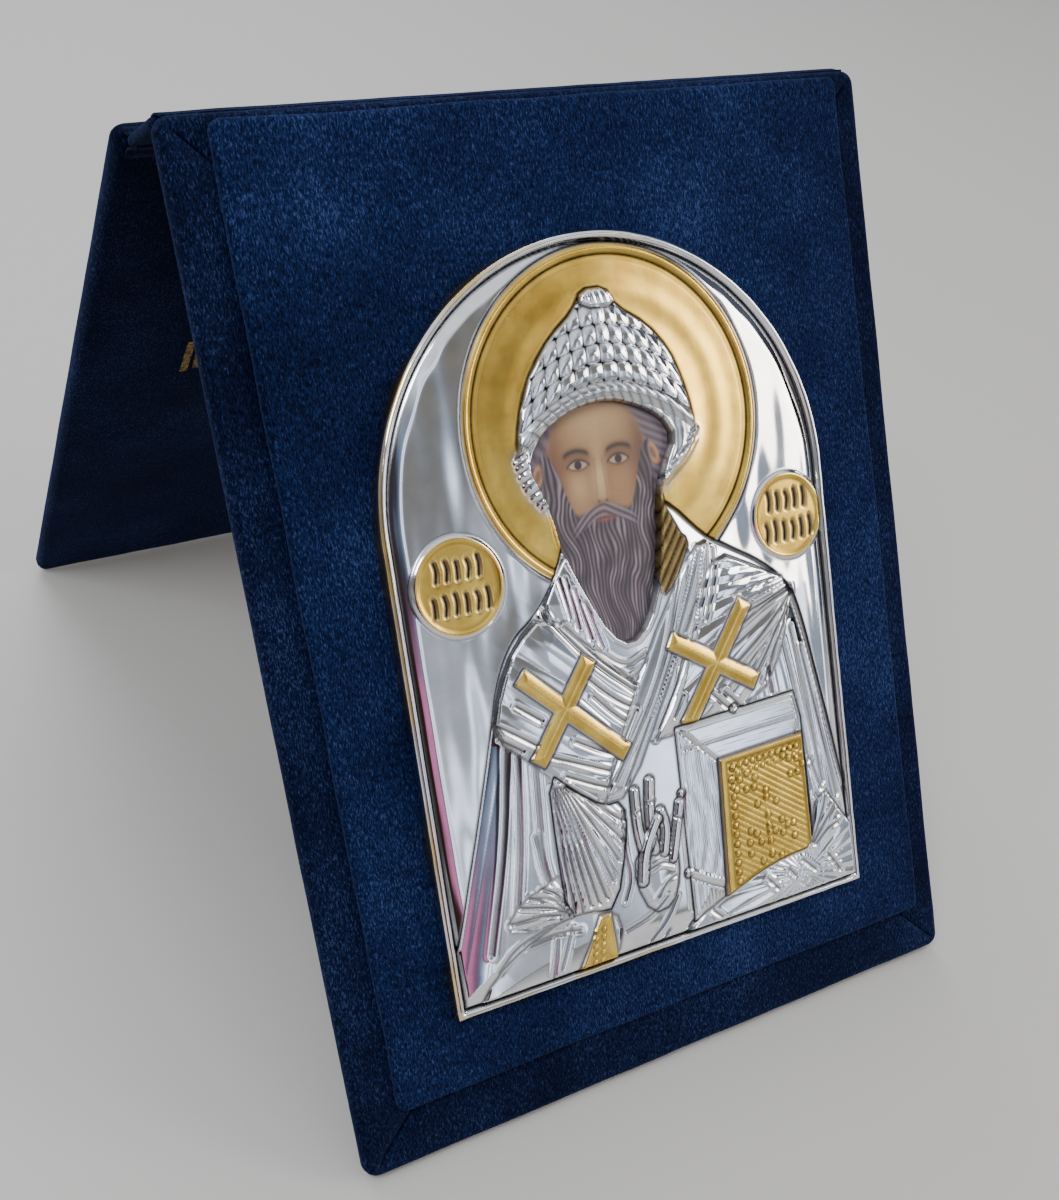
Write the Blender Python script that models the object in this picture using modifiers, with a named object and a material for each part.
"""A small standing icon: two velvet-covered leaves joined by a velvet spine.

The front leaf carries an embossed metal plaque with a half-length figure, and the other leaf
is the cover, which folds over the plaque. Here both stand on a table as a tent.
Sizes are in metres. X runs along the leaves, the plaque faces -Y and +Z is up.
The origin is on the table, in the middle of the footprint.
"""
import math

import bmesh
import bpy
import numpy as np

# Leaves
LEAF_WIDTH = 0.090
LEAF_HEIGHT = 0.1184
BOARD_THICK = 0.0028
BOARD_CORNER = 0.0022
BOARD_EDGE = 0.0006
CORNER_STEPS = 5
EDGE_STEPS = 3

# Lining panels and the velvet borders around them
PANEL_STEP = 0.0014
PANEL_LEFT = 0.0051
PANEL_RIGHT = 0.0044
PANEL_BOTTOM = 0.0074
PANEL_TOP = 0.0010
PANEL_CORNER = 0.0024
PANEL_EDGE = 0.0004
PANEL_STEPS = 2
COVER_LINING = 0.0009
COVER_BORDER = 0.0050

# Plaque: a straight-sided plate under a round arch
PLAQUE_HALF = 0.0294
PLAQUE_SHOULDER = 0.0550
PLAQUE_DEPTH = 0.0017
PLAQUE_UP = 0.0172
PLAQUE_ASIDE = -0.0011
PLAQUE_SKEW = math.radians(-1.1)
RIM_WIDTH = 0.0011
RIM_RISE = 0.00045
RIM_ROUND = 0.0004
RIM_STEPS = 2
ARC_STEPS = 40
GROOVE_WIDTH = 0.00035
GROOVE_DEPTH = 0.00025
RELIEF_RISE = 0.0016
RELIEF_COLUMNS = 84
RELIEF_ROWS = 112
RELIEF_KEEP = 0.33

# Printed card in the opening of the metal
POCKET_DEPTH = 0.0010
CARD_THICK = 0.0005

# Spine and how the leaves stand
SPINE_THICK = 0.0012
SPINE_INSET = 0.0010
SPINE_CORNER = 0.0015
SPINE_EDGE = 0.0004
CREASE_ROOM = 0.0005
CLOSING_ROOM = 0.0004
FRONT_LEAN = math.radians(29.5)
SPINE_TURN = math.radians(90.0)

# Space between pieces that touch
GAP = 0.0003

SPINE_WIDTH = 2 * BOARD_THICK + PANEL_STEP + PLAQUE_DEPTH + RELIEF_RISE + CLOSING_ROOM + COVER_LINING

# Figure, in shares of the plaque's half width (x) and of its straight side and arch (y).
# The lower edge of the plaque is y = 0, its straight sides end at ARCH_START, the arch has radius 1.
ARCH_START = 1.87
HALO_AT = (0.027, 2.175)
HALO_RADIUS = 0.68
MEDALLIONS = ((-0.755, 1.66, 0.197), (0.82, 1.675, 0.187))
CAP = (
    (-0.32, 1.87), (-0.40, 1.95), (-0.44, 2.06), (-0.42, 2.18), (-0.385, 2.30), (-0.32, 2.42),
    (-0.22, 2.53), (-0.11, 2.61), (-0.06, 2.685), (0.04, 2.685), (0.09, 2.61), (0.22, 2.53),
    (0.31, 2.42), (0.355, 2.30), (0.385, 2.18), (0.39, 2.07), (0.32, 1.98), (0.19, 1.90),
    (0.22, 1.98), (0.285, 2.08), (0.24, 2.16), (0.14, 2.22), (0.0, 2.26), (-0.14, 2.25),
    (-0.27, 2.20), (-0.36, 2.12), (-0.385, 2.05), (-0.35, 1.96),
)
OPENING = (
    (-0.385, 2.05), (-0.35, 2.13), (-0.27, 2.20), (-0.14, 2.25), (0.0, 2.26), (0.14, 2.22),
    (0.24, 2.16), (0.285, 2.08), (0.22, 1.97), (0.18, 1.87), (0.165, 1.72), (0.13, 1.52),
    (0.06, 1.36), (-0.03, 1.29), (-0.12, 1.35), (-0.21, 1.52), (-0.28, 1.70), (-0.31, 1.87),
    (-0.35, 1.96),
)
ROBE = (
    (-0.30, 1.68), (-0.38, 1.57), (-0.46, 1.48), (-0.57, 1.41), (-0.66, 1.26), (-0.70, 1.12),
    (-0.73, 1.02), (-0.80, 0.80), (-0.92, 0.45), (-1.04, 0.10), (-1.04, -0.05), (1.04, -0.05),
    (1.04, 0.20), (0.96, 0.55), (0.89, 0.95), (0.84, 1.22), (0.79, 1.38), (0.66, 1.50),
    (0.50, 1.59), (0.38, 1.66), (0.20, 1.85), (0.0, 1.90), (-0.25, 1.86),
)
LEFT_BAND = (
    (-0.71, 1.06), (-0.65, 1.24), (-0.56, 1.39), (-0.42, 1.49), (-0.22, 1.30), (-0.02, 1.10),
    (-0.10, 0.95), (-0.19, 0.78), (-0.27, 0.66), (-0.40, 0.75), (-0.54, 0.90),
)
RIGHT_BAND = (
    (0.80, 1.40), (0.60, 1.50), (0.44, 1.58), (0.30, 1.44), (0.14, 1.22), (0.02, 1.00),
    (-0.05, 0.88), (0.14, 0.88), (0.55, 0.92), (0.72, 1.14),
)
STOLE = ((0.42, 1.64), (0.30, 1.62), (0.02, 1.22), (-0.28, 0.68), (-0.14, 0.68), (0.12, 1.12))
SLEEVE = (
    (-0.50, 0.86), (-0.40, 0.76), (-0.27, 0.66), (-0.18, 0.66), (-0.18, 0.52), (-0.27, 0.23),
    (-0.38, 0.24), (-0.495, 0.25), (-0.505, 0.55),
)
FLARE = ((-0.50, 0.25), (-0.66, 0.24), (-0.79, 0.28), (-0.70, 0.37), (-0.60, 0.40), (-0.50, 0.44))
CUFF = ((-0.35, 0.21), (-0.48, 0.0), (-0.29, 0.0), (-0.30, 0.21))
PAGES = (
    (0.12, 0.90), (0.74, 0.92), (0.765, 0.80), (0.765, 0.19), (0.45, 0.15), (0.28, 0.10),
    (0.11, 0.05),
)
BOOK_COVER = ((0.31, 0.72), (0.755, 0.735), (0.755, 0.20), (0.60, 0.19), (0.45, 0.165), (0.28, 0.11))
CLOTH = (
    (0.04, -0.05), (0.12, 0.05), (0.28, 0.11), (0.45, 0.17), (0.60, 0.20), (0.765, 0.21),
    (0.80, 0.40), (0.87, 0.44), (0.93, 0.34), (1.02, 0.22), (1.02, -0.05),
)
CROSSES = (
    ((-0.57, 1.27), (-0.13, 0.86), (-0.25, 1.28), (-0.54, 0.91)),
    ((0.53, 1.36), (0.18, 0.90), (0.14, 1.27), (0.55, 1.01)),
)
CROSS_ARM = 0.045
MANTLE_FROM = (-0.52, 1.45)
SHOULDER_FROM = (0.55, 2.30)
MANTLE_TOP = 1.15
SLEEVE_FROM = (-0.53, 1.05)
FLARE_FROM = (-0.44, 0.27)
CLOTH_FROM = (0.70, 0.10)
WEAVE_FROM = (-0.03, 1.62)
WEAVE_CELL = (0.075, 0.082)
FINGERS = (
    ((-0.07, 0.46), (-0.02, 0.66)), ((-0.01, 0.46), (0.05, 0.67)), ((0.03, 0.44), (0.10, 0.57)),
    ((0.05, 0.40), (0.12, 0.49)), ((-0.09, 0.40), (-0.05, 0.56)),
)
FINGER_WIDE = 0.036
PALM = ((-0.13, 0.22), (-0.01, 0.42))
PALM_WIDE = 0.085

part = bpy.data.collections.new("icon_panel")
helpers = bpy.data.collections.new("icon_panel_cutters")


def clear_scene():
    for thing in list(bpy.data.objects):
        bpy.data.objects.remove(thing, do_unlink=True)
    bpy.context.scene.collection.children.link(part)
    bpy.context.scene.collection.children.link(helpers)


def material(name, colour, roughness, metallic=0.0):
    paint = bpy.data.materials.new(name)
    paint.use_nodes = True
    shader = paint.node_tree.nodes["Principled BSDF"]
    shader.inputs["Base Color"].default_value = (*colour, 1.0)
    shader.inputs["Roughness"].default_value = roughness
    shader.inputs["Metallic"].default_value = metallic
    return paint


def add_object(name, mesh, paint=None, parent=None, group=part):
    thing = bpy.data.objects.new(name, mesh)
    group.objects.link(thing)
    thing.parent = parent
    if paint:
        mesh.materials.append(paint)
    return thing


def add_empty(name, parent=None, location=(0, 0, 0), rotation=(0, 0, 0)):
    empty = add_object(name, None, parent=parent)
    empty.location = location
    empty.rotation_euler = rotation
    return empty


def as_helper(thing):
    thing.hide_render = True
    thing.display_type = "WIRE"
    return thing


def add_boolean(thing, other, operation):
    cut = thing.modifiers.new(other.name, "BOOLEAN")
    cut.operation = operation
    cut.object = other


def add_bevel(thing, width, segments, angle=math.radians(40)):
    soft = thing.modifiers.new("edges", "BEVEL")
    soft.width = width
    soft.segments = segments
    soft.limit_method = "ANGLE"
    soft.angle_limit = angle


def slab_mesh(name, low, high, corner):
    """A flat block between two corners, with its upright edges rounded by corner."""
    shape = bmesh.new()
    bmesh.ops.create_cube(shape, size=1.0)
    for vertex in shape.verts:
        for axis in range(3):
            vertex.co[axis] = high[axis] if vertex.co[axis] > 0 else low[axis]
    upright = [edge for edge in shape.edges if abs(edge.verts[0].co.z - edge.verts[1].co.z) > 1e-6]
    bmesh.ops.bevel(shape, geom=upright, offset=corner, segments=CORNER_STEPS, profile=0.5, affect="EDGES")
    mesh = bpy.data.meshes.new(name)
    shape.to_mesh(mesh)
    shape.free()
    return mesh


def prism_mesh(name, outline, low, high):
    """An outline of (x, y) points drawn up from low to high."""
    shape = bmesh.new()
    base = [shape.verts.new((x, y, low)) for x, y in outline]
    face = shape.faces.new(base)
    risen = bmesh.ops.extrude_face_region(shape, geom=[face])
    for item in risen["geom"]:
        if isinstance(item, bmesh.types.BMVert):
            item.co.z = high
    bmesh.ops.recalc_face_normals(shape, faces=shape.faces)
    mesh = bpy.data.meshes.new(name)
    shape.to_mesh(mesh)
    shape.free()
    return mesh


def rounded(corners, rounds=2):
    """A closed outline with its corners cut again and again, until they run round."""
    points = np.array(corners, dtype=float)
    for _ in range(rounds):
        ahead = np.roll(points, -1, axis=0)
        points = np.stack([0.75 * points + 0.25 * ahead, 0.25 * points + 0.75 * ahead], axis=1)
        points = points.reshape(-1, 2)
    return points


def arch_outline(outset):
    """The plaque's outline in metres, moved outwards by outset."""
    half = PLAQUE_HALF + outset
    points = [(-half, -outset), (half, -outset)]
    for step in range(ARC_STEPS + 1):
        turn = math.pi * step / ARC_STEPS
        points.append((half * math.cos(turn), PLAQUE_SHOULDER + half * math.sin(turn)))
    return points


def to_plaque(share):
    """A point of the figure, given in shares, in the plaque's metres."""
    x, y = share
    return x * PLAQUE_HALF, figure_height(y)


def figure_height(y):
    """Shares up the figure in metres: the straight side is stretched, the arch stays round."""
    straight = np.minimum(y, ARCH_START) * PLAQUE_SHOULDER / ARCH_START
    return straight + np.maximum(y - ARCH_START, 0.0) * PLAQUE_HALF


def step_up(value):
    value = np.clip(value, 0.0, 1.0)
    return value * value * (3.0 - 2.0 * value)


def depth_inside(x, y, outline):
    """Distance to an outline, positive inside it."""
    nearest = np.full(x.shape, 9.0)
    inside = np.zeros(x.shape, dtype=bool)
    for (ax, ay), (bx, by) in zip(outline, np.roll(outline, -1, axis=0)):
        run_x, run_y = bx - ax, by - ay
        along = ((x - ax) * run_x + (y - ay) * run_y) / (run_x ** 2 + run_y ** 2 + 1e-12)
        along = np.clip(along, 0.0, 1.0)
        nearest = np.minimum(nearest, np.hypot(x - ax - along * run_x, y - ay - along * run_y))
        if abs(run_y) > 1e-9:
            inside ^= ((ay > y) != (by > y)) & (x < run_x * (y - ay) / run_y + ax)
    return np.where(inside, nearest, -nearest)


def bar_distance(x, y, start, end):
    run_x, run_y = end[0] - start[0], end[1] - start[1]
    along = ((x - start[0]) * run_x + (y - start[1]) * run_y) / (run_x ** 2 + run_y ** 2)
    along = np.clip(along, 0.0, 1.0)
    return np.hypot(x - start[0] - along * run_x, y - start[1] - along * run_y)


def lay_on(height, depth, layer, edge=0.02):
    """Lay a form over what is there, with a slope of the given width at its edge."""
    share = step_up(depth / edge + 0.5)
    return height * (1.0 - share) + layer * share


def pleats(phase, crest=0.6):
    """Rounded folds with narrow valleys: 0 in a valley, 1 on a crest."""
    return (1.0 - np.abs(2.0 * (phase % 1.0) - 1.0)) ** crest


def fan(x, y, apex, count):
    """Folds that spread from a point."""
    return pleats(np.arctan2(x - apex[0], apex[1] - y) * count)


def slanted(x, y, direction, spacing):
    """Folds that run side by side along a direction given in degrees."""
    turn = math.radians(direction)
    return pleats((y * math.cos(turn) - x * math.sin(turn)) / spacing)


def swell(depth, reach):
    return 1.0 - np.exp(-np.maximum(depth, 0.0) / reach)


def relief(x, y):
    """Height of the embossed figure over the ground, in shares of RELIEF_RISE."""
    height = 0.06 * (1.0 - x ** 2)

    # Halo: a dish with a raised ring
    reach = np.hypot(x - HALO_AT[0], y - HALO_AT[1])
    dish = 0.10 + 0.25 * step_up((0.58 - reach) / 0.35) + 0.16 * np.exp(-((reach - 0.64) / 0.028) ** 2)
    height = lay_on(height, HALO_RADIUS - reach, dish)

    # Two round medallions with rows of strokes
    for centre_x, centre_y, radius in MEDALLIONS:
        away = np.hypot(x - centre_x, y - centre_y)
        height = lay_on(height, radius - away, 0.16 + 0.12 * np.exp(-((away - radius + 0.02) / 0.02) ** 2))

    # Robe and its mantle folds
    depth = depth_inside(x, y, rounded(ROBE))
    folds = np.where(x < 0, fan(x, y, MANTLE_FROM, 14.0), fan(x, y, SHOULDER_FROM, 22.0))
    low_part = step_up((MANTLE_TOP - y) / 0.3)
    height = lay_on(height, depth, 0.22 + 0.22 * swell(depth, 0.10) + 0.12 * folds * low_part)

    # Crossed bands over the shoulders
    for outline, direction, spacing in ((RIGHT_BAND, 47.0, 0.085), (LEFT_BAND, -42.0, 0.085)):
        depth = depth_inside(x, y, rounded(outline, 1))
        folds = slanted(x, y, direction, spacing)
        height = lay_on(height, depth, 0.46 + 0.12 * swell(depth, 0.08) + 0.10 * folds)
    depth = depth_inside(x, y, rounded(STOLE, 1))
    height = lay_on(height, depth, 0.56 + 0.16 * slanted(x, y, 60.0, 0.065))

    # Raised crosses
    for ends in CROSSES:
        for start, end in (ends[:2], ends[2:]):
            height = lay_on(height, CROSS_ARM - bar_distance(x, y, start, end), 0.80)

    # Sleeve, its flared hem and the cuff
    depth = depth_inside(x, y, rounded(FLARE, 1))
    height = lay_on(height, depth, 0.42 + 0.20 * fan(x, y, FLARE_FROM, 7.0))
    depth = depth_inside(x, y, rounded(SLEEVE, 1))
    height = lay_on(height, depth, 0.50 + 0.16 * swell(depth, 0.08) + 0.16 * fan(x, y, SLEEVE_FROM, 14.0))
    height = lay_on(height, depth_inside(x, y, np.array(CUFF)), 0.66)

    # Book with its page block, and the cloth that holds it
    depth = depth_inside(x, y, rounded(PAGES, 0))
    height = lay_on(height, depth, 0.52 + 0.22 * swell(depth, 0.12))
    height = lay_on(height, depth_inside(x, y, np.array(BOOK_COVER)), 0.92)
    depth = depth_inside(x, y, rounded(CLOTH, 1))
    height = lay_on(height, depth, 0.60 + 0.15 * swell(depth, 0.08) + 0.14 * fan(x, y, CLOTH_FROM, 5.0))

    # Raised hand
    height = lay_on(height, PALM_WIDE - bar_distance(x, y, *PALM), 0.80, 0.05)
    for start, end in FINGERS:
        away = bar_distance(x, y, start, end)
        height = lay_on(height, FINGER_WIDE - away, 0.84 + 0.14 * swell(FINGER_WIDE - away, 0.02))

    # Woven cap, a dome of crossing bands with a thick brim
    depth = depth_inside(x, y, rounded(CAP))
    across, along = x - WEAVE_FROM[0], y - WEAVE_FROM[1]
    weave = pleats(across / WEAVE_CELL[0]) * pleats(np.hypot(across, 0.9 * along) / WEAVE_CELL[1])
    height = lay_on(height, depth, 0.42 + 0.46 * swell(depth, 0.09) + 0.12 * weave)
    return height


def relief_mesh():
    """The embossed field as a solid: a grid drawn to the arch, raised by the relief."""
    bpy.ops.mesh.primitive_grid_add(x_subdivisions=RELIEF_COLUMNS, y_subdivisions=RELIEF_ROWS, size=2)
    grid = bpy.context.object
    mesh = grid.data
    flat = np.empty(len(mesh.vertices) * 3)
    mesh.vertices.foreach_get("co", flat)
    flat = flat.reshape(-1, 3)
    half = PLAQUE_HALF - GROOVE_WIDTH
    x = half * np.sin(0.5 * math.pi * flat[:, 0])
    top = PLAQUE_SHOULDER + np.sqrt(np.maximum(half ** 2 - x ** 2, 0.0))
    y = GROOVE_WIDTH + (top - GROOVE_WIDTH) * 0.5 * (flat[:, 1] + 1.0)
    share_x = x / PLAQUE_HALF
    share_y = np.minimum(y, PLAQUE_SHOULDER) * ARCH_START / PLAQUE_SHOULDER
    share_y += np.maximum(y - PLAQUE_SHOULDER, 0.0) / PLAQUE_HALF
    z = RELIEF_RISE * relief(share_x, share_y)
    mesh.vertices.foreach_set("co", np.stack([x, y, z], axis=1).ravel())
    shape = bmesh.new()
    shape.from_mesh(mesh)
    rim = [edge for edge in shape.edges if edge.is_boundary]
    wall = bmesh.ops.extrude_edge_only(shape, edges=rim)["geom"]
    for vertex in [item for item in wall if isinstance(item, bmesh.types.BMVert)]:
        vertex.co.z = -GROOVE_DEPTH - GAP
    bmesh.ops.holes_fill(shape, edges=[edge for edge in shape.edges if edge.is_boundary], sides=0)
    bmesh.ops.recalc_face_normals(shape, faces=shape.faces)
    solid = bpy.data.meshes.new("relief")
    shape.to_mesh(solid)
    shape.free()
    bpy.data.objects.remove(grid, do_unlink=True)
    return solid


def make_plaque(parent, paint):
    plate = prism_mesh("icon_plaque", arch_outline(RIM_WIDTH), -PLAQUE_DEPTH + GAP, RIM_RISE)
    plaque = add_object("icon_plaque", plate, paint, parent)
    add_bevel(plaque, RIM_ROUND, RIM_STEPS)
    tray = prism_mesh("rim_inside", arch_outline(0.0), -GROOVE_DEPTH, 2 * RELIEF_RISE)
    add_boolean(plaque, as_helper(add_object("rim_inside", tray, parent=parent, group=helpers)), "DIFFERENCE")
    field = as_helper(add_object("relief", relief_mesh(), parent=parent, group=helpers))
    fewer = field.modifiers.new("fewer_faces", "DECIMATE")
    fewer.ratio = RELIEF_KEEP
    add_boolean(plaque, field, "UNION")
    opening = prism_mesh("opening", [to_plaque(point) for point in rounded(OPENING, 1)],
                         -POCKET_DEPTH, 2 * RELIEF_RISE)
    add_boolean(plaque, as_helper(add_object("opening", opening, parent=parent, group=helpers)), "DIFFERENCE")
    return plaque


def inset(points, distance):
    """A closed outline moved inwards, its points running round clockwise or not."""
    points = np.asarray(points)
    ahead = np.roll(points, -1, axis=0) - points
    behind = points - np.roll(points, 1, axis=0)
    along = ahead / np.linalg.norm(ahead, axis=1)[:, None] + behind / np.linalg.norm(behind, axis=1)[:, None]
    along /= np.linalg.norm(along, axis=1)[:, None]
    area = np.sum(points[:, 0] * np.roll(points[:, 1], -1) - np.roll(points[:, 0], -1) * points[:, 1])
    inwards = np.stack([-along[:, 1], along[:, 0]], axis=1) * np.sign(area)
    return points + distance * inwards


def make_card(parent, paint):
    outline = np.array([to_plaque(point) for point in rounded(OPENING, 1)])
    low = -POCKET_DEPTH + GAP
    card = prism_mesh("printed_insert", inset(outline, GAP), low, low + CARD_THICK)
    return add_object("printed_insert", card, paint, parent)


def make_board(name, parent, paint):
    """A leaf's board, its outside on z = 0 and its foot on y = 0."""
    half = LEAF_WIDTH / 2
    mesh = slab_mesh(name, (-half, 0, 0), (half, LEAF_HEIGHT, BOARD_THICK), BOARD_CORNER)
    board = add_object(name, mesh, paint, parent)
    add_bevel(board, BOARD_EDGE, EDGE_STEPS)
    return board


def make_spine(parent, paint):
    """The spine strip along y, its inside on z = 0. It lies outside the creases, as a book's spine does."""
    half = LEAF_WIDTH / 2 - SPINE_INSET
    mesh = slab_mesh("spine_strip", (-half, GAP, -SPINE_THICK), (half, SPINE_WIDTH - GAP, 0), SPINE_CORNER)
    strip = add_object("spine_strip", mesh, paint, parent)
    add_bevel(strip, SPINE_EDGE, EDGE_STEPS)
    return strip


def make_lining(name, parent, paint, borders, thick):
    """A panel of velvet on the inner face of a leaf, inside borders left, right, bottom and top."""
    left, right, bottom, top = borders
    half = LEAF_WIDTH / 2
    low = (-half + left, bottom, BOARD_THICK + GAP)
    high = (half - right, LEAF_HEIGHT - top, BOARD_THICK + thick)
    panel = add_object(name, slab_mesh(name, low, high, PANEL_CORNER), paint, parent)
    add_bevel(panel, min(PANEL_EDGE, 0.4 * (thick - GAP)), PANEL_STEPS)
    return panel


def cover_lean():
    """The cover's lean from upright that puts both feet on the table."""
    reach = LEAF_HEIGHT + CREASE_ROOM
    drop = SPINE_WIDTH * math.cos(FRONT_LEAN + SPINE_TURN)
    return math.acos((reach * math.cos(FRONT_LEAN) + drop) / reach)


def stand_on_table(root):
    """Move the whole icon so that its lowest point is on z = 0 and its footprint is centred."""
    bpy.context.view_layer.update()
    graph = bpy.context.evaluated_depsgraph_get()
    corners = []
    for thing in part.objects:
        if thing.type == "MESH":
            shown = thing.evaluated_get(graph)
            corners += [thing.matrix_world @ vertex.co for vertex in shown.data.vertices]
    spots = np.array(corners)
    low, high = spots.min(axis=0), spots.max(axis=0)
    root.location = (-(low[0] + high[0]) / 2, -(low[1] + high[1]) / 2, -low[2])
    bpy.context.view_layer.update()


def build():
    clear_scene()
    velvet = material("navy_velvet", (0.010, 0.022, 0.085), 0.95)
    lining = material("navy_velvet_lining", (0.016, 0.034, 0.115), 0.95)
    silver = material("silver_plate", (0.80, 0.81, 0.83), 0.22, 1.0)
    print_paint = material("printed_card", (0.16, 0.12, 0.12), 0.6)

    root = add_empty("icon_frame")
    front = add_empty("front_leaf", root, rotation=(math.pi / 2 - FRONT_LEAN, 0, 0))
    make_board("front_board", front, velvet)
    make_lining("front_panel", front, lining, (PANEL_LEFT, PANEL_RIGHT, PANEL_BOTTOM, PANEL_TOP), PANEL_STEP)
    seat = (PLAQUE_ASIDE, PLAQUE_UP, BOARD_THICK + PANEL_STEP + PLAQUE_DEPTH)
    plaque_frame = add_empty("plaque_frame", front, seat, (0, 0, PLAQUE_SKEW))
    make_plaque(plaque_frame, silver)
    make_card(plaque_frame, print_paint)

    front_crease = add_empty("front_crease", front, (0, LEAF_HEIGHT + CREASE_ROOM, 0), (-SPINE_TURN, 0, 0))
    make_spine(front_crease, velvet)
    cover_turn = math.pi - FRONT_LEAN - cover_lean() - SPINE_TURN
    cover_crease = add_empty("cover_crease", front_crease, (0, SPINE_WIDTH, 0), (-cover_turn, 0, 0))
    cover = add_empty("cover_leaf", cover_crease, (0, CREASE_ROOM + LEAF_HEIGHT, 0), (0, 0, math.pi))
    make_board("cover_board", cover, velvet)
    make_lining("cover_panel", cover, lining, (COVER_BORDER, COVER_BORDER, COVER_BORDER, PANEL_TOP), COVER_LINING)
    stand_on_table(root)


build()
